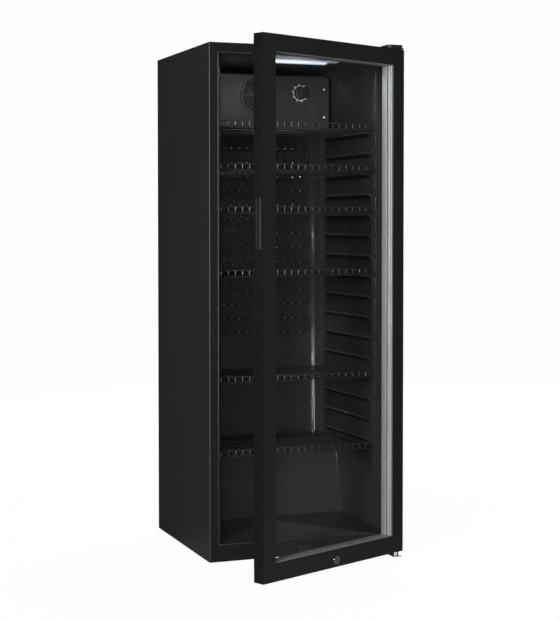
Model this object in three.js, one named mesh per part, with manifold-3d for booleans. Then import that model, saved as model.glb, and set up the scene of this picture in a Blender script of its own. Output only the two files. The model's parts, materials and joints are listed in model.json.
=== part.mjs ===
// Free-standing glass-door wine cooler, in millimetres, +Z up, door ajar.
//
// Cabinet frame used below: x = 0 at the cabinet's left side, y = 0 at its front face with +Y
// towards the back, z = 0 at the underside of the cabinet. The last lines shift the whole cooler
// so that its origin is the centre of its footprint, on the floor.
import * as THREE from 'three';
import { mergeVertices } from 'three/addons/utils/BufferGeometryUtils.js';
import Module from 'manifold-3d';

const wasm = await Module();
wasm.setup();

// ---------------------------------------------------------------- driving dimensions
const GAP = 0.3; // clearance between pieces that touch

const CAB = { w: 595, d: 530, h: 1512 };
const SHEET = 1.2; // painted steel sheet
const FLANGE = { side: 27, top: 27, bottom: 49 }; // front face around the opening
const FOOT_HEIGHT = 22;

const LINER_WALL = 2;
const CAVITY = { x0: 48, x1: 547, back: 493, floor: 58, ceiling: 1478 };
const CAVITY_CORNER = 40; // vertical radius of the two rear corners
const THROAT = { depth: 38, inset: 31, top: 1482, bottom: 51 };
const HUMP = { footY: 307, kneeY: 340, kneeZ: 241, topY: 385, topZ: 296 };
const PLANT = { wallY: 380, topZ: 250 }; // the machine compartment, behind and below the hump

const LEDGE = { count: 16, topZ: 1269.5, pitch: 62.9, out: 10, nose: 5, root: 17, y0: 76, y1: 424 };

const SHELF = { y0: 48, y1: 420, wires: 23, wire: 4, lip: 22, sideGap: 4 };
const SHELF_LEDGES = [0, 2, 4, 7, 12]; // counted down from the top; the sixth lies on the hump

const COVER = { x0: 63, x1: 532, y0: 375, z0: 1295, z1: 1461, wall: 1.6, corner: 14 };
const FAN = { x: 290, z: 1396, hole: 55, grille: 62, blade: 48, hub: 17 };
const DIAL = { x: 432, z: 1407, knob: 20, knobDepth: 14 };
const ROCKER_ON = THREE.MathUtils.degToRad(7); // the lamp switch is drawn pressed on
const LAMP = { x0: 205, x1: 390, y0: 48, y1: 82, z0: 1458, z1: 1472 };

const EVAPORATOR = { x0: 118, x1: 477, z0: 632, z1: 1278, runs: 15, y: 478, tube: 3.2, wires: 14 };
const CONDENSER = { x0: 70, x1: 525, z0: 400, z1: 1310, runs: 15, y: 541, tube: 2.6, wires: 16 };

const DOOR = { z0: -3, z1: 1508, thick: 37, stile: 48, railTop: 48, railBottom: 52 };
const DOOR_AJAR = THREE.MathUtils.degToRad(24.5);
const GASKET = { thick: 12, wide: 14, side: 9, top: 14, bottom: 34 };
const HINGE_AXIS = { x: CAB.w - 12, y: -(GASKET.thick + DOOR.thick / 2) };
const REBATE = 0.75; // share of the frame's width that is solid behind the front lip
const LIP = 1.2; // front lip over the glass
const PROFILE_WALL = 2; // the frame's members are hollow extrusions, open at their mitred ends
const PANE = 4;
const CAVITY_OF_GLASS = 16;
const BEAD_BACK = -4.5; // the bead's rim stands proud of the door's back, inside the gasket

const LOCK = { x: 297.5, z: 17, body: 9.2, ring: 12.5, cylinder: 6, cam: 16 };
const HANDLE = { z0: 917, z1: 1060, fromFront: 9, wide: 20, deep: 14, wall: 1.5 };
const PIN = { r: 4, bush: 6.7, clear: 0.4 };
const BOTTOM_PLATE = { low: -19, high: -16 }; // the lower hinge plate, clear of the floor

const FEET = { x: [75, 520], y: [106, 450], pad: 19, rim: 5, crown: 11, stem: 4, thread: 16 };

const COMPRESSOR = { x: 400, y: 456, r: 62, z: 13, h: 150 };
const TRAY = { halfX: 74, halfY: 58, wall: 2, deep: 24 }; // melt water, over the warm compressor
const DRIER = { x: 250, y: 470, z: 60, r: 9.5, neck: 3, length: 108, cone: 10 };
const LOUVRES = { columns: [[60, 270], [325, 535]], rows: 6, firstZ: 112, pitch: 21, tall: 8 };
const INLET = { x: 120, z: 70, w: 28, h: 21 };

// ---------------------------------------------------------------- geometry helpers
const BASIS = {
  // a shape's (x, y) becomes (x, z), its depth runs towards -Y, and a lathe's axis becomes z
  xz: new THREE.Matrix4().makeBasis(
    new THREE.Vector3(1, 0, 0), new THREE.Vector3(0, 0, 1), new THREE.Vector3(0, -1, 0)),
  // a shape's (x, y) becomes (y, z), and its depth runs towards +X
  yz: new THREE.Matrix4().makeBasis(
    new THREE.Vector3(0, 1, 0), new THREE.Vector3(0, 0, 1), new THREE.Vector3(1, 0, 0)),
};

// a box whose front rectangle (at y0) and back rectangle (at y1) may differ
function taperedBox(front, back, y0, y1) {
  const geometry = new THREE.BoxGeometry(1, 1, 1);
  const position = geometry.attributes.position;
  for (let i = 0; i < position.count; i += 1) {
    const end = position.getY(i) < 0 ? front : back;
    const x = position.getX(i) < 0 ? end.x0 : end.x1;
    const z = position.getZ(i) < 0 ? end.z0 : end.z1;
    position.setXYZ(i, x, position.getY(i) < 0 ? y0 : y1, z);
  }
  return geometry;
}

function box(x0, x1, y0, y1, z0, z1) {
  const end = { x0, x1, z0, z1 };
  return taperedBox(end, end, y0, y1);
}

function polygon(points) {
  return new THREE.Shape(points.map(([a, b]) => new THREE.Vector2(a, b)));
}

function rectangle(a0, a1, b0, b1) {
  return polygon([[a0, b0], [a1, b0], [a1, b1], [a0, b1]]);
}

function circle(cx, cy, r) {
  return new THREE.Shape().absarc(cx, cy, r, 0, 2 * Math.PI, false);
}

function extrude(shape, depth, curveSegments = 8) {
  return new THREE.ExtrudeGeometry(shape, { depth, bevelEnabled: false, curveSegments });
}

// a shape drawn in (x, z), from y0 back to y1
function extrudeY(shape, y0, y1, curveSegments) {
  return extrude(shape, y1 - y0, curveSegments).applyMatrix4(BASIS.xz).translate(0, y1, 0);
}

// a shape drawn in (y, z), from x0 to x1
function extrudeX(shape, x0, x1, curveSegments) {
  return extrude(shape, x1 - x0, curveSegments).applyMatrix4(BASIS.yz).translate(x0, 0, 0);
}

// a shape drawn in (x, y), from z0 to z1
function extrudeZ(shape, z0, z1, curveSegments) {
  return extrude(shape, z1 - z0, curveSegments).translate(0, 0, z0);
}

function rodY(x, z, r, y0, y1, sides = 20) {
  return new THREE.CylinderGeometry(r, r, y1 - y0, sides).translate(x, (y0 + y1) / 2, z);
}

function rodZ(x, y, r, z0, z1, sides = 20) {
  const geometry = new THREE.CylinderGeometry(r, r, z1 - z0, sides).rotateX(Math.PI / 2);
  return geometry.translate(x, y, (z0 + z1) / 2);
}

// a turned solid about Z: profile is a list of [radius, height] that starts and ends on the axis
function turnedZ(profile, sides) {
  const points = profile.map(([r, h]) => new THREE.Vector2(r, h));
  return new THREE.LatheGeometry(points, sides).applyMatrix4(BASIS.xz);
}

// a turned solid about Y, with the profile's height running towards +Y
function turnedY(profile, sides) {
  return new THREE.LatheGeometry(profile.map(([r, h]) => new THREE.Vector2(r, h)), sides);
}

// a path that an extrusion follows from point to point, with one step for each point
class Route extends THREE.Curve {
  constructor(points) {
    super();
    this.points = points;
  }

  getPoint(t, target = new THREE.Vector3()) {
    const place = Math.min(Math.max(t, 0), 1) * (this.points.length - 1);
    const i = Math.min(Math.floor(place), this.points.length - 2);
    return target.lerpVectors(this.points[i], this.points[i + 1], place - i);
  }

  getPointAt(t, target) {
    return this.getPoint(t, target);
  }

  getTangentAt(t, target) {
    return this.getTangent(t, target);
  }
}

// a serpentine tube in a plane of constant y, with level runs joined by half-round bends
function serpentine({ x0, x1, z0, z1, runs, y, tube }) {
  const pitch = (z1 - z0) / (runs - 1);
  const radius = pitch / 2;
  const bendSteps = 4;
  const points = [];
  for (let run = 0; run < runs; run += 1) {
    const z = z0 + run * pitch;
    const toRight = run % 2 === 0;
    const start = toRight ? x0 : x1;
    const end = toRight ? x1 : x0;
    points.push(new THREE.Vector3(start, y, z), new THREE.Vector3(end, y, z));
    if (run === runs - 1) break;
    for (let k = 1; k < bendSteps; k += 1) {
      const angle = -Math.PI / 2 + (k * Math.PI) / bendSteps;
      const out = radius * Math.cos(angle) * (toRight ? 1 : -1);
      points.push(new THREE.Vector3(end + out, y, z + radius + radius * Math.sin(angle)));
    }
  }
  const section = new THREE.Shape();
  const sides = 6;
  for (let k = 0; k < sides; k += 1) {
    const angle = (k * 2 * Math.PI) / sides;
    const corner = [tube * Math.cos(angle), tube * Math.sin(angle)];
    if (k === 0) section.moveTo(...corner);
    else section.lineTo(...corner);
  }
  const options = { steps: points.length - 1, bevelEnabled: false, extrudePath: new Route(points) };
  return new THREE.ExtrudeGeometry(section, options);
}

// the filled cells of a grid as one closed skin; filled(i, j, k) says which cells are solid
function gridSolid(xs, ys, zs, filled) {
  const corners = [];
  const inside = (i, j, k) => i >= 0 && j >= 0 && k >= 0
    && i < xs.length - 1 && j < ys.length - 1 && k < zs.length - 1 && filled(i, j, k);
  const at = (i, j, k) => [xs[i], ys[j], zs[k]];
  const quad = (a, b, c, d) => corners.push(...a, ...b, ...c, ...a, ...c, ...d);
  const cell = (i, j, k) => {
    const [I, J, K] = [i + 1, j + 1, k + 1];
    if (!inside(i - 1, j, k)) quad(at(i, j, k), at(i, j, K), at(i, J, K), at(i, J, k));
    if (!inside(I, j, k)) quad(at(I, j, k), at(I, J, k), at(I, J, K), at(I, j, K));
    if (!inside(i, j - 1, k)) quad(at(i, j, k), at(I, j, k), at(I, j, K), at(i, j, K));
    if (!inside(i, J, k)) quad(at(i, J, k), at(i, J, K), at(I, J, K), at(I, J, k));
    if (!inside(i, j, k - 1)) quad(at(i, j, k), at(i, J, k), at(I, J, k), at(I, j, k));
    if (!inside(i, j, K)) quad(at(i, j, K), at(I, j, K), at(I, J, K), at(i, J, K));
  };
  for (let i = 0; i < xs.length - 1; i += 1) {
    for (let j = 0; j < ys.length - 1; j += 1) {
      for (let k = 0; k < zs.length - 1; k += 1) {
        if (inside(i, j, k)) cell(i, j, k);
      }
    }
  }
  const geometry = new THREE.BufferGeometry();
  geometry.setAttribute('position', new THREE.Float32BufferAttribute(corners, 3));
  geometry.computeVertexNormals();
  return geometry;
}

// the planes of evenly spaced bars from a0 to a1: bars are the even cells, gaps the odd ones
function barPlanes(a0, a1, count, bar) {
  const pitch = (a1 - a0 - bar) / (count - 1);
  return Array.from({ length: count }, (_, i) => [a0 + i * pitch, a0 + i * pitch + bar]).flat();
}

const isBar = (index) => index % 2 === 0;

// an upright net of square bars: `uprights` by `levels`
function net(x0, x1, z0, z1, uprights, levels, bar, front) {
  const xs = barPlanes(x0, x1, uprights, bar);
  const zs = barPlanes(z0, z1, levels, bar);
  return gridSolid(xs, [front, front + bar], zs, (i, j, k) => isBar(i) || isBar(k));
}

// ---------------------------------------------------------------- joining and cutting
function solid(geometry) {
  const bare = geometry.clone();
  bare.deleteAttribute('normal');
  bare.deleteAttribute('uv');
  const merged = mergeVertices(bare, 1e-4);
  const vertProperties = new Float32Array(merged.attributes.position.array);
  const triVerts = new Uint32Array(merged.index.array);
  return new wasm.Manifold(new wasm.Mesh({ numProp: 3, vertProperties, triVerts }));
}

function join(...geometries) {
  return geometries.map(solid).reduce((whole, next) => whole.add(next));
}

function cut(body, ...cutters) {
  return cutters.reduce((rest, cutter) => rest.subtract(solid(cutter)), body);
}

function toGeometry(body) {
  const mesh = body.getMesh();
  const geometry = new THREE.BufferGeometry();
  geometry.setAttribute('position', new THREE.BufferAttribute(mesh.vertProperties, 3));
  geometry.setIndex(new THREE.BufferAttribute(mesh.triVerts, 1));
  geometry.computeVertexNormals();
  return geometry;
}

// ---------------------------------------------------------------- materials
const FINISH = {
  blackPaint: { color: 0x252625, roughness: 0.55, metalness: 0.0 },
  blackPlastic: { color: 0x1b1c1c, roughness: 0.5, metalness: 0.0 },
  linerPlastic: { color: 0x202122, roughness: 0.35, metalness: 0.0 },
  greyCover: { color: 0x3a3c3d, roughness: 0.5, metalness: 0.0 },
  foam: { color: 0xd9c98f, roughness: 0.95, metalness: 0.0 },
  wireBlack: { color: 0x17181a, roughness: 0.35, metalness: 0.3 },
  galvanised: { color: 0x9ea2a4, roughness: 0.45, metalness: 0.9 },
  zinc: { color: 0xb6b9bb, roughness: 0.3, metalness: 1.0 },
  chrome: { color: 0xdadcde, roughness: 0.1, metalness: 1.0 },
  aluminium: { color: 0xc4c7c9, roughness: 0.3, metalness: 1.0 },
  copper: { color: 0xa8643f, roughness: 0.35, metalness: 1.0 },
  whitePlastic: { color: 0xeef2f6, roughness: 0.4, metalness: 0.0 },
  glass: { color: 0xbfc8c6, roughness: 0.02, metalness: 0.0, transparent: true, opacity: 0.25 },
  rubber: { color: 0x131313, roughness: 0.8, metalness: 0.0 },
  compressorPaint: { color: 0x0f1011, roughness: 0.3, metalness: 0.4 },
};

function node(name, shape, finish) {
  const geometry = shape.isBufferGeometry ? shape : toGeometry(shape);
  const mesh = new THREE.Mesh(geometry, new THREE.MeshStandardMaterial(FINISH[finish]));
  mesh.name = name;
  return mesh;
}

// ---------------------------------------------------------------- cabinet walls
function ledgeTop(step) {
  return LEDGE.topZ - step * LEDGE.pitch;
}

// the space inside the liner, grown outwards by `grow` on every wall
function cavity(grow) {
  const { x0, x1, back, floor, ceiling } = CAVITY;
  const side = polygon([
    [THROAT.depth - 1, floor - grow],
    [HUMP.footY + grow, floor - grow],
    [HUMP.kneeY + grow, HUMP.kneeZ - grow],
    [HUMP.topY + grow, HUMP.topZ - grow],
    [back + grow, HUMP.topZ - grow],
    [back + grow, ceiling + grow],
    [THROAT.depth - 1, ceiling + grow],
  ]);
  const plan = new THREE.Shape();
  const r = CAVITY_CORNER + grow;
  plan.moveTo(x0 - grow, 0);
  plan.lineTo(x1 + grow, 0);
  plan.lineTo(x1 + grow, back + grow - r);
  plan.absarc(x1 + grow - r, back + grow - r, r, 0, Math.PI / 2, false);
  plan.lineTo(x0 - grow + r, back + grow);
  plan.absarc(x0 - grow + r, back + grow - r, r, Math.PI / 2, Math.PI, false);
  plan.lineTo(x0 - grow, 0);
  const room = solid(extrudeX(side, x0 - grow, x1 + grow))
    .intersect(solid(extrudeZ(plan, 0, CAB.h, 6)));
  const mouth = {
    x0: THROAT.inset - grow, x1: CAB.w - THROAT.inset + grow,
    z0: THROAT.bottom - grow, z1: THROAT.top + grow,
  };
  const end = { x0: x0 - grow, x1: x1 + grow, z0: floor - grow, z1: ceiling + grow };
  return room.add(solid(taperedBox(mouth, end, SHEET, THROAT.depth)));
}

function outerShell() {
  const { w, d, h } = CAB;
  const wrap = box(0, w, 0, d, 0, h);
  const inside = box(SHEET, w - SHEET, SHEET, d + 1, -1, h - SHEET);
  const opening = box(FLANGE.side, w - FLANGE.side, -1, SHEET + 1, FLANGE.bottom, h - FLANGE.top);
  return node('outer_shell', cut(solid(wrap), inside, opening), 'blackPaint');
}

function basePan() {
  const plate = box(SHEET + GAP, CAB.w - SHEET - GAP, SHEET + GAP, CAB.d - SHEET, 0, 2);
  const holes = [];
  for (const x of FEET.x) {
    for (const y of FEET.y) holes.push(rodZ(x, y, FEET.stem + 1.5, -1, 3));
  }
  return node('base_pan', cut(solid(plate), ...holes), 'galvanised');
}

function foam() {
  const top = CAB.h - SHEET - GAP;
  const back = CAB.d - SHEET - GAP;
  const side = polygon([
    [SHEET + GAP, 2 + GAP],
    [PLANT.wallY, 2 + GAP],
    [PLANT.wallY, PLANT.topZ],
    [back, PLANT.topZ],
    [back, top],
    [SHEET + GAP, top],
  ]);
  const block = solid(extrudeX(side, SHEET + GAP, CAB.w - SHEET - GAP));
  const mouth = box(THROAT.inset - LINER_WALL - GAP, CAB.w - THROAT.inset + LINER_WALL + GAP,
    0, SHEET + 2, THROAT.bottom - LINER_WALL - GAP, THROAT.top + LINER_WALL + GAP);
  const pockets = FEET.x.map((x) => rodZ(x, FEET.y[0], FEET.stem + 3, 0, 22));
  const hollow = block.subtract(cavity(LINER_WALL + GAP));
  return node('foam_insulation', cut(hollow, mouth, ...pockets), 'foam');
}

function liner() {
  const skin = cavity(LINER_WALL).subtract(cavity(0));
  const bars = [];
  const tops = Array.from({ length: LEDGE.count }, (_, step) => ledgeTop(step));
  for (const z of [...tops, HUMP.topZ]) {
    const y1 = z > HUMP.topZ ? LEDGE.y1 : HUMP.kneeY;
    for (const [wall, inwards] of [[CAVITY.x0, 1], [CAVITY.x1, -1]]) {
      const root = wall - inwards;
      const tip = wall + inwards * LEDGE.out;
      const section = [[root, z], [root, z - LEDGE.root], [tip, z - LEDGE.nose], [tip, z]];
      if (inwards < 0) section.reverse();
      bars.push(extrudeY(polygon(section), LEDGE.y0, y1));
    }
  }
  const lip = box(0, CAB.w, -1, SHEET + GAP, 0, CAB.h);
  const ledges = join(...bars);
  return node('inner_liner', cut(skin.add(ledges), lip), 'linerPlastic');
}

// one bent sheet: the back of the cabinet and the lining of the machine compartment
function rearPanel() {
  const t = 1;
  const y = CAB.d - SHEET;
  const top = CAB.h - SHEET - GAP;
  const { wallY, topZ } = PLANT;
  const sheet = polygon([
    [wallY + GAP, 2 + GAP],
    [wallY + GAP + t, 2 + GAP],
    [wallY + GAP + t, topZ - GAP - t],
    [y + t, topZ - GAP - t],
    [y + t, top],
    [y, top],
    [y, topZ - GAP],
    [wallY + GAP, topZ - GAP],
  ]);
  return node('rear_panel', extrudeX(sheet, SHEET + GAP, CAB.w - SHEET - GAP), 'galvanised');
}

// ---------------------------------------------------------------- inside the cabinet
// a deck of wires that turn up at the front into a low fence
function shelf(index) {
  const rest = index < SHELF_LEDGES.length ? ledgeTop(SHELF_LEDGES[index]) : HUMP.topZ;
  const floor = rest + GAP;
  const { y0, y1, wires, wire, lip, sideGap } = SHELF;
  const xs = barPlanes(CAVITY.x0 + sideGap, CAVITY.x1 - sideGap, wires, wire);
  const ys = [y0, y0 + wire, y1 - wire, y1];
  const zs = [floor, floor + wire, floor + lip - wire, floor + lip];
  const filled = (i, j, k) => {
    if (k === 0) return isBar(i) || isBar(j);
    return j === 0 && (isBar(i) || k === 2);
  };
  return node(`shelf_${index + 1}`, gridSolid(xs, ys, zs, filled), 'wireBlack');
}

function fanCover() {
  const { x0, x1, y0, z0, z1, wall, corner } = COVER;
  const back = CAVITY.back - GAP;
  const face = new THREE.Shape();
  face.moveTo(x0, z0);
  face.lineTo(x1, z0);
  face.lineTo(x1, z1 - corner);
  face.absarc(x1 - corner, z1 - corner, corner, 0, Math.PI / 2, false);
  face.lineTo(x0 + corner, z1);
  face.absarc(x0 + corner, z1 - corner, corner, Math.PI / 2, Math.PI, false);
  face.lineTo(x0, z0);
  const inside = box(x0 + wall, x1 - wall, y0 + wall, back + 1, z0 + wall, z1 - corner);
  const upper = box(x0 + corner, x1 - corner, y0 + wall, back + 1, z0 + wall, z1 - wall);
  const fanHole = rodY(FAN.x, FAN.z, FAN.hole, y0 - 1, y0 + wall + 1, 32);
  const shaftHole = rodY(DIAL.x, DIAL.z, 5, y0 - 1, y0 + wall + 1);
  const cornerRelief = 30; // the rear corners of the liner are round
  const reliefs = [
    box(x0 - 1, x0 + cornerRelief, back - cornerRelief, back + 1, z0 - 1, z1 + 1),
    box(x1 - cornerRelief, x1 + 1, back - cornerRelief, back + 1, z0 - 1, z1 + 1),
  ];
  const shell = solid(extrudeY(face, y0, back, 5));
  return node('fan_cover', cut(shell, inside, upper, fanHole, shaftHole, ...reliefs), 'greyCover');
}

// a round guard with three rings of curved slots between four spokes
function fanGrille() {
  const disc = circle(FAN.x, FAN.z, FAN.grille);
  const rings = [[14, 24], [29, 39], [44, 54]];
  const spokes = 4;
  for (const [inner, outer] of rings) {
    for (let k = 0; k < spokes; k += 1) {
      const half = Math.PI / spokes - 3 / inner;
      const middle = (k + 0.5) * (2 * Math.PI / spokes);
      const slot = new THREE.Path();
      slot.absarc(FAN.x, FAN.z, outer, middle - half, middle + half, false);
      slot.absarc(FAN.x, FAN.z, inner, middle + half, middle - half, true);
      disc.holes.push(slot);
    }
  }
  const front = COVER.y0 - 3;
  return node('fan_grille', extrudeY(disc, front, COVER.y0 - GAP, 4), 'greyCover');
}

function fanMotor() {
  const y0 = COVER.y0 + 36;
  const can = rodY(FAN.x, FAN.z, 26, y0, y0 + 38, 24);
  const strap = box(FAN.x - 70, FAN.x + 70, y0 + 6, y0 + 9, FAN.z - 11, FAN.z + 11);
  const posts = [-66, 66].map((dx) => box(FAN.x + dx - 4, FAN.x + dx + 4,
    COVER.y0 + COVER.wall + GAP, y0 + 8, FAN.z - 8, FAN.z + 8));
  return node('fan_motor', join(can, strap, ...posts), 'blackPlastic');
}

function fanRotor() {
  const y0 = COVER.y0 + 10;
  const blades = 5;
  const parts = [rodY(FAN.x, FAN.z, FAN.hub, y0, y0 + 22, 20)];
  for (let k = 0; k < blades; k += 1) {
    const blade = new THREE.BoxGeometry(FAN.blade - FAN.hub + 4, 1.8, 24);
    blade.rotateX(THREE.MathUtils.degToRad(55));
    blade.translate((FAN.blade + FAN.hub - 4) / 2, 0, 0);
    blade.rotateY((k * 2 * Math.PI) / blades);
    parts.push(blade.translate(FAN.x, y0 + 11, FAN.z));
  }
  return node('fan_rotor', join(...parts), 'blackPlastic');
}

function thermostatBody() {
  const y0 = COVER.y0 + COVER.wall + GAP;
  const block = box(DIAL.x - 20, DIAL.x + 20, y0, y0 + 30, DIAL.z - 20, DIAL.z + 20);
  const stem = rodY(DIAL.x, DIAL.z, 3, COVER.y0 - 8, y0 + 5, 12);
  return node('thermostat_body', join(block, stem), 'whitePlastic');
}

function thermostatKnob() {
  const { x, z, knob, knobDepth } = DIAL;
  const outer = turnedY([[0, 0], [knob - 3, 0], [knob - 1, 1.5], [knob, knobDepth], [0, knobDepth]], 28);
  outer.translate(x, COVER.y0 - GAP - knobDepth, z);
  const bore = rodY(x, z, 3.5, COVER.y0 - 9, COVER.y0, 12);
  const grip = box(x - 2.5, x + 2.5, COVER.y0 - knobDepth - 4, COVER.y0 - knobDepth + 2,
    z - knob + 4, z + knob - 4);
  return node('thermostat_knob', cut(join(outer, grip), bore), 'blackPlastic');
}

function coverScrews() {
  const spots = [];
  for (const x of [COVER.x0 + 16, COVER.x1 - 16]) {
    for (const z of [COVER.z0 + 36, COVER.z1 - 40]) spots.push([x, z]);
  }
  return spots.map(([x, z], i) => {
    const head = turnedY([[0, 0], [3, 0], [4.6, 1.4], [4.6, 2.4], [0, 2.4]], 14);
    head.translate(x, COVER.y0 - GAP - 2.4, z);
    return node(`cover_screw_${i + 1}`, head, 'zinc');
  });
}

function lampHousing() {
  const { x0, x1, y0, y1, z1 } = LAMP;
  const plate = box(x0 - 6, x1 + 36, y0, y1 + 6, z1 + GAP, CAVITY.ceiling - GAP);
  return node('lamp_housing', plate, 'whitePlastic');
}

// a shallow half-round diffuser along the lamp
function lampLens() {
  const { x0, x1, y0, y1, z0, z1 } = LAMP;
  const side = new THREE.Shape();
  side.moveTo(y0 + 2, z1);
  side.quadraticCurveTo(y0, z0, (y0 + y1) / 2, z0);
  side.quadraticCurveTo(y1, z0, y1 - 2, z1);
  side.lineTo(y0 + 2, z1);
  return node('lamp_lens', extrudeX(side, x0, x1, 6), 'whitePlastic');
}

function lampSwitch() {
  const x = LAMP.x1 + 18;
  const y = (LAMP.y0 + LAMP.y1) / 2;
  const z = LAMP.z1 - 1.8;
  const rocker = polygon([[-9, 0], [-9, -3], [0, -4.5], [9, -3], [9, 0]]);
  const body = extrudeX(rocker, x - 6, x + 6).rotateX(ROCKER_ON).translate(0, y, z);
  return node('lamp_switch', body, 'blackPlastic');
}

function evaporator() {
  const { x0, x1, z0, z1, y, tube, wires } = EVAPORATOR;
  const bar = 2.4;
  const low = z0 - 12;
  const high = z1 + 12;
  const front = y - tube - GAP - bar;
  return [
    node('evaporator_tube', serpentine(EVAPORATOR), 'wireBlack'),
    node('evaporator_wires', net(x0 + 6, x1 - 6, low, high, wires, 4, bar, front), 'wireBlack'),
  ];
}

// ---------------------------------------------------------------- machine compartment and back
function compressorParts() {
  const { x, y, r, z, h } = COMPRESSOR;
  const pot = turnedZ([
    [0, 0], [r - 12, 0], [r - 3, 8], [r - 2, h * 0.45], [r, h * 0.47],
    [r, h * 0.53], [r - 2, h * 0.55], [r - 5, h * 0.85], [r - 20, h * 0.97], [0, h],
  ], 28).translate(x, y, z);
  const plate = box(x - 85, x + 85, y - 55, y + 55, z - GAP - 3, z - GAP);
  const studs = [];
  for (const dx of [-76, 76]) {
    for (const dy of [-44, 44]) studs.push(rodZ(x + dx, y + dy, 8, 2 + GAP, z - 2, 14));
  }
  const relay = box(x + r + GAP, x + r + 32, y - 22, y + 22, z + 50, z + 108);
  const tray = (inset, low, high) => box(x - TRAY.halfX + inset, x + TRAY.halfX - inset,
    y - TRAY.halfY + inset, y + TRAY.halfY - inset, z + h + low, z + h + high);
  const trayOut = tray(0, GAP, TRAY.deep);
  const trayIn = tray(TRAY.wall, GAP + TRAY.wall, TRAY.deep + 6);
  return [
    node('compressor', pot, 'compressorPaint'),
    node('compressor_mount', join(plate, ...studs), 'galvanised'),
    node('start_relay', relay, 'blackPlastic'),
    node('drip_tray', cut(solid(trayOut), trayIn), 'whitePlastic'),
  ];
}

function filterDrier() {
  const { x, y, z, r, neck, length, cone } = DRIER;
  const stub = 12;
  const profile = [
    [0, 0], [neck, 0], [neck, stub], [r, stub + cone],
    [r, length - stub - cone], [neck, length - stub], [neck, length], [0, length],
  ];
  return node('filter_drier', turnedZ(profile, 16).translate(x, y, z), 'copper');
}

// the lower rear grille, with louvre slots in two columns and a cut-out for the power inlet
function machineCover() {
  const y0 = CAB.d - SHEET;
  const low = 2 + GAP;
  const high = PLANT.topZ - 3;
  const face = box(SHEET + GAP, CAB.w - SHEET - GAP, y0, y0 + 1, low, high);
  const holes = [];
  for (const [x0, x1] of LOUVRES.columns) {
    for (let k = 0; k < LOUVRES.rows; k += 1) {
      const z = LOUVRES.firstZ + k * LOUVRES.pitch;
      holes.push(box(x0, x1, y0 - 1, y0 + 2, z, z + LOUVRES.tall));
    }
  }
  const { x, z, w, h } = INLET;
  holes.push(box(x - w / 2 - GAP, x + w / 2 + GAP, y0 - 1, y0 + 2,
    z - h / 2 - GAP, z + h / 2 + GAP));
  return node('machine_cover', cut(solid(face), ...holes), 'galvanised');
}

function powerInlet() {
  const { x, z, w, h } = INLET;
  const y = CAB.d - SHEET + 1;
  const barrel = box(x - w / 2, x + w / 2, y - 26, y + 1, z - h / 2, z + h / 2);
  const rim = box(x - w / 2 - 10, x + w / 2 + 10, y + GAP, y + 3, z - h / 2 - 4, z + h / 2 + 4);
  const well = box(x - w / 2 + 2, x + w / 2 - 2, y - 16, y + 4, z - h / 2 + 2, z + h / 2 - 2);
  const pins = [-7, 0, 7].map((dx) => box(x + dx - 1, x + dx + 1, y - 17, y - 2, z - 2, z + 2));
  const body = cut(join(barrel, rim), well);
  return node('power_inlet', body.add(join(...pins)), 'blackPlastic');
}

function condenser() {
  const { x0, x1, z0, z1, y, tube, wires } = CONDENSER;
  const bar = 2.2;
  const low = z0 - 14;
  const high = z1 + 14;
  const front = y + tube + GAP;
  const grid = net(x0 + 8, x1 - 8, low, high, wires, 3, bar, front);
  const legs = [];
  for (const x of [x0 + 8, x1 - 8 - 12]) {
    for (const z of [low, high - 8]) {
      legs.push(box(x, x + 12, CAB.d - SHEET + 1 + GAP, front + bar, z, z + 8));
    }
  }
  return [
    node('condenser_tube', serpentine(CONDENSER), 'compressorPaint'),
    node('condenser_wires', join(grid, ...legs), 'compressorPaint'),
  ];
}

// ---------------------------------------------------------------- hinges, keeper and feet
function topHinge() {
  const { x, y } = HINGE_AXIS;
  const z = CAB.h + GAP;
  const plate = box(x - 32, x + 10, y - 12, 60, z, z + 3);
  const hole = rodZ(x, y, PIN.r + PIN.clear, z - 1, z + 4);
  const pin = join(rodZ(x, y, PIN.r, DOOR.z1 - 20, z + 3.2), rodZ(x, y, 6.5, z + 3.2, z + 6));
  const outline = new THREE.Shape();
  const [left, right, front, back, r] = [x - 37, x + 15, y - 17, 64, 12];
  outline.moveTo(left + r, front);
  outline.absarc(right - r, front + r, r, -Math.PI / 2, 0, false);
  outline.absarc(right - r, back - r, r, 0, Math.PI / 2, false);
  outline.absarc(left + r, back - r, r, Math.PI / 2, Math.PI, false);
  outline.absarc(left + r, front + r, r, Math.PI, 1.5 * Math.PI, false);
  const cap = extrudeZ(outline, z, z + 9.5, 5);
  const hollow = box(x - 33.5, x + 11, y - 13, 60.5, z - 1, z + 7.5);
  return [
    node('hinge_bracket_top', cut(solid(plate), hole), 'zinc'),
    node('hinge_pin_top', pin, 'zinc'),
    node('hinge_cover_top', cut(solid(cap), hollow), 'blackPlastic'),
  ];
}

function bottomHinge() {
  const { x, y } = HINGE_AXIS;
  const { low, high } = BOTTOM_PLATE;
  const [left, right, back] = [x - 15, x + 11, 60];
  const plate = box(left, right, y - 15, back, low, high);
  const riser = box(left, right, 4, back, high - 1, -GAP);
  const hole = rodZ(x, y, PIN.r + PIN.clear, low - 1, high + 1);
  const pin = join(
    rodZ(x, y, PIN.r, low, DOOR.z0 + 18),
    rodZ(x, y, 8.5, high + GAP, DOOR.z0 - 2.5, 6),
  );
  return [
    node('hinge_bracket_bottom', cut(join(plate, riser), hole), 'blackPaint'),
    node('hinge_pin_bottom', pin, 'zinc'),
  ];
}

// a hook on the cabinet's bottom front face that the lock's cam turns down behind
function strikePlate() {
  const hook = polygon([
    [-GAP, -4], [-11.4, -4], [-11.4, 5.5], [-10, 5.5], [-10, -2.5], [-1.8, -2.5],
    [-1.8, 28], [-GAP, 28],
  ]);
  return node('strike_plate', extrudeX(hook, LOCK.x - 20, LOCK.x + 20), 'blackPaint');
}

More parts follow.
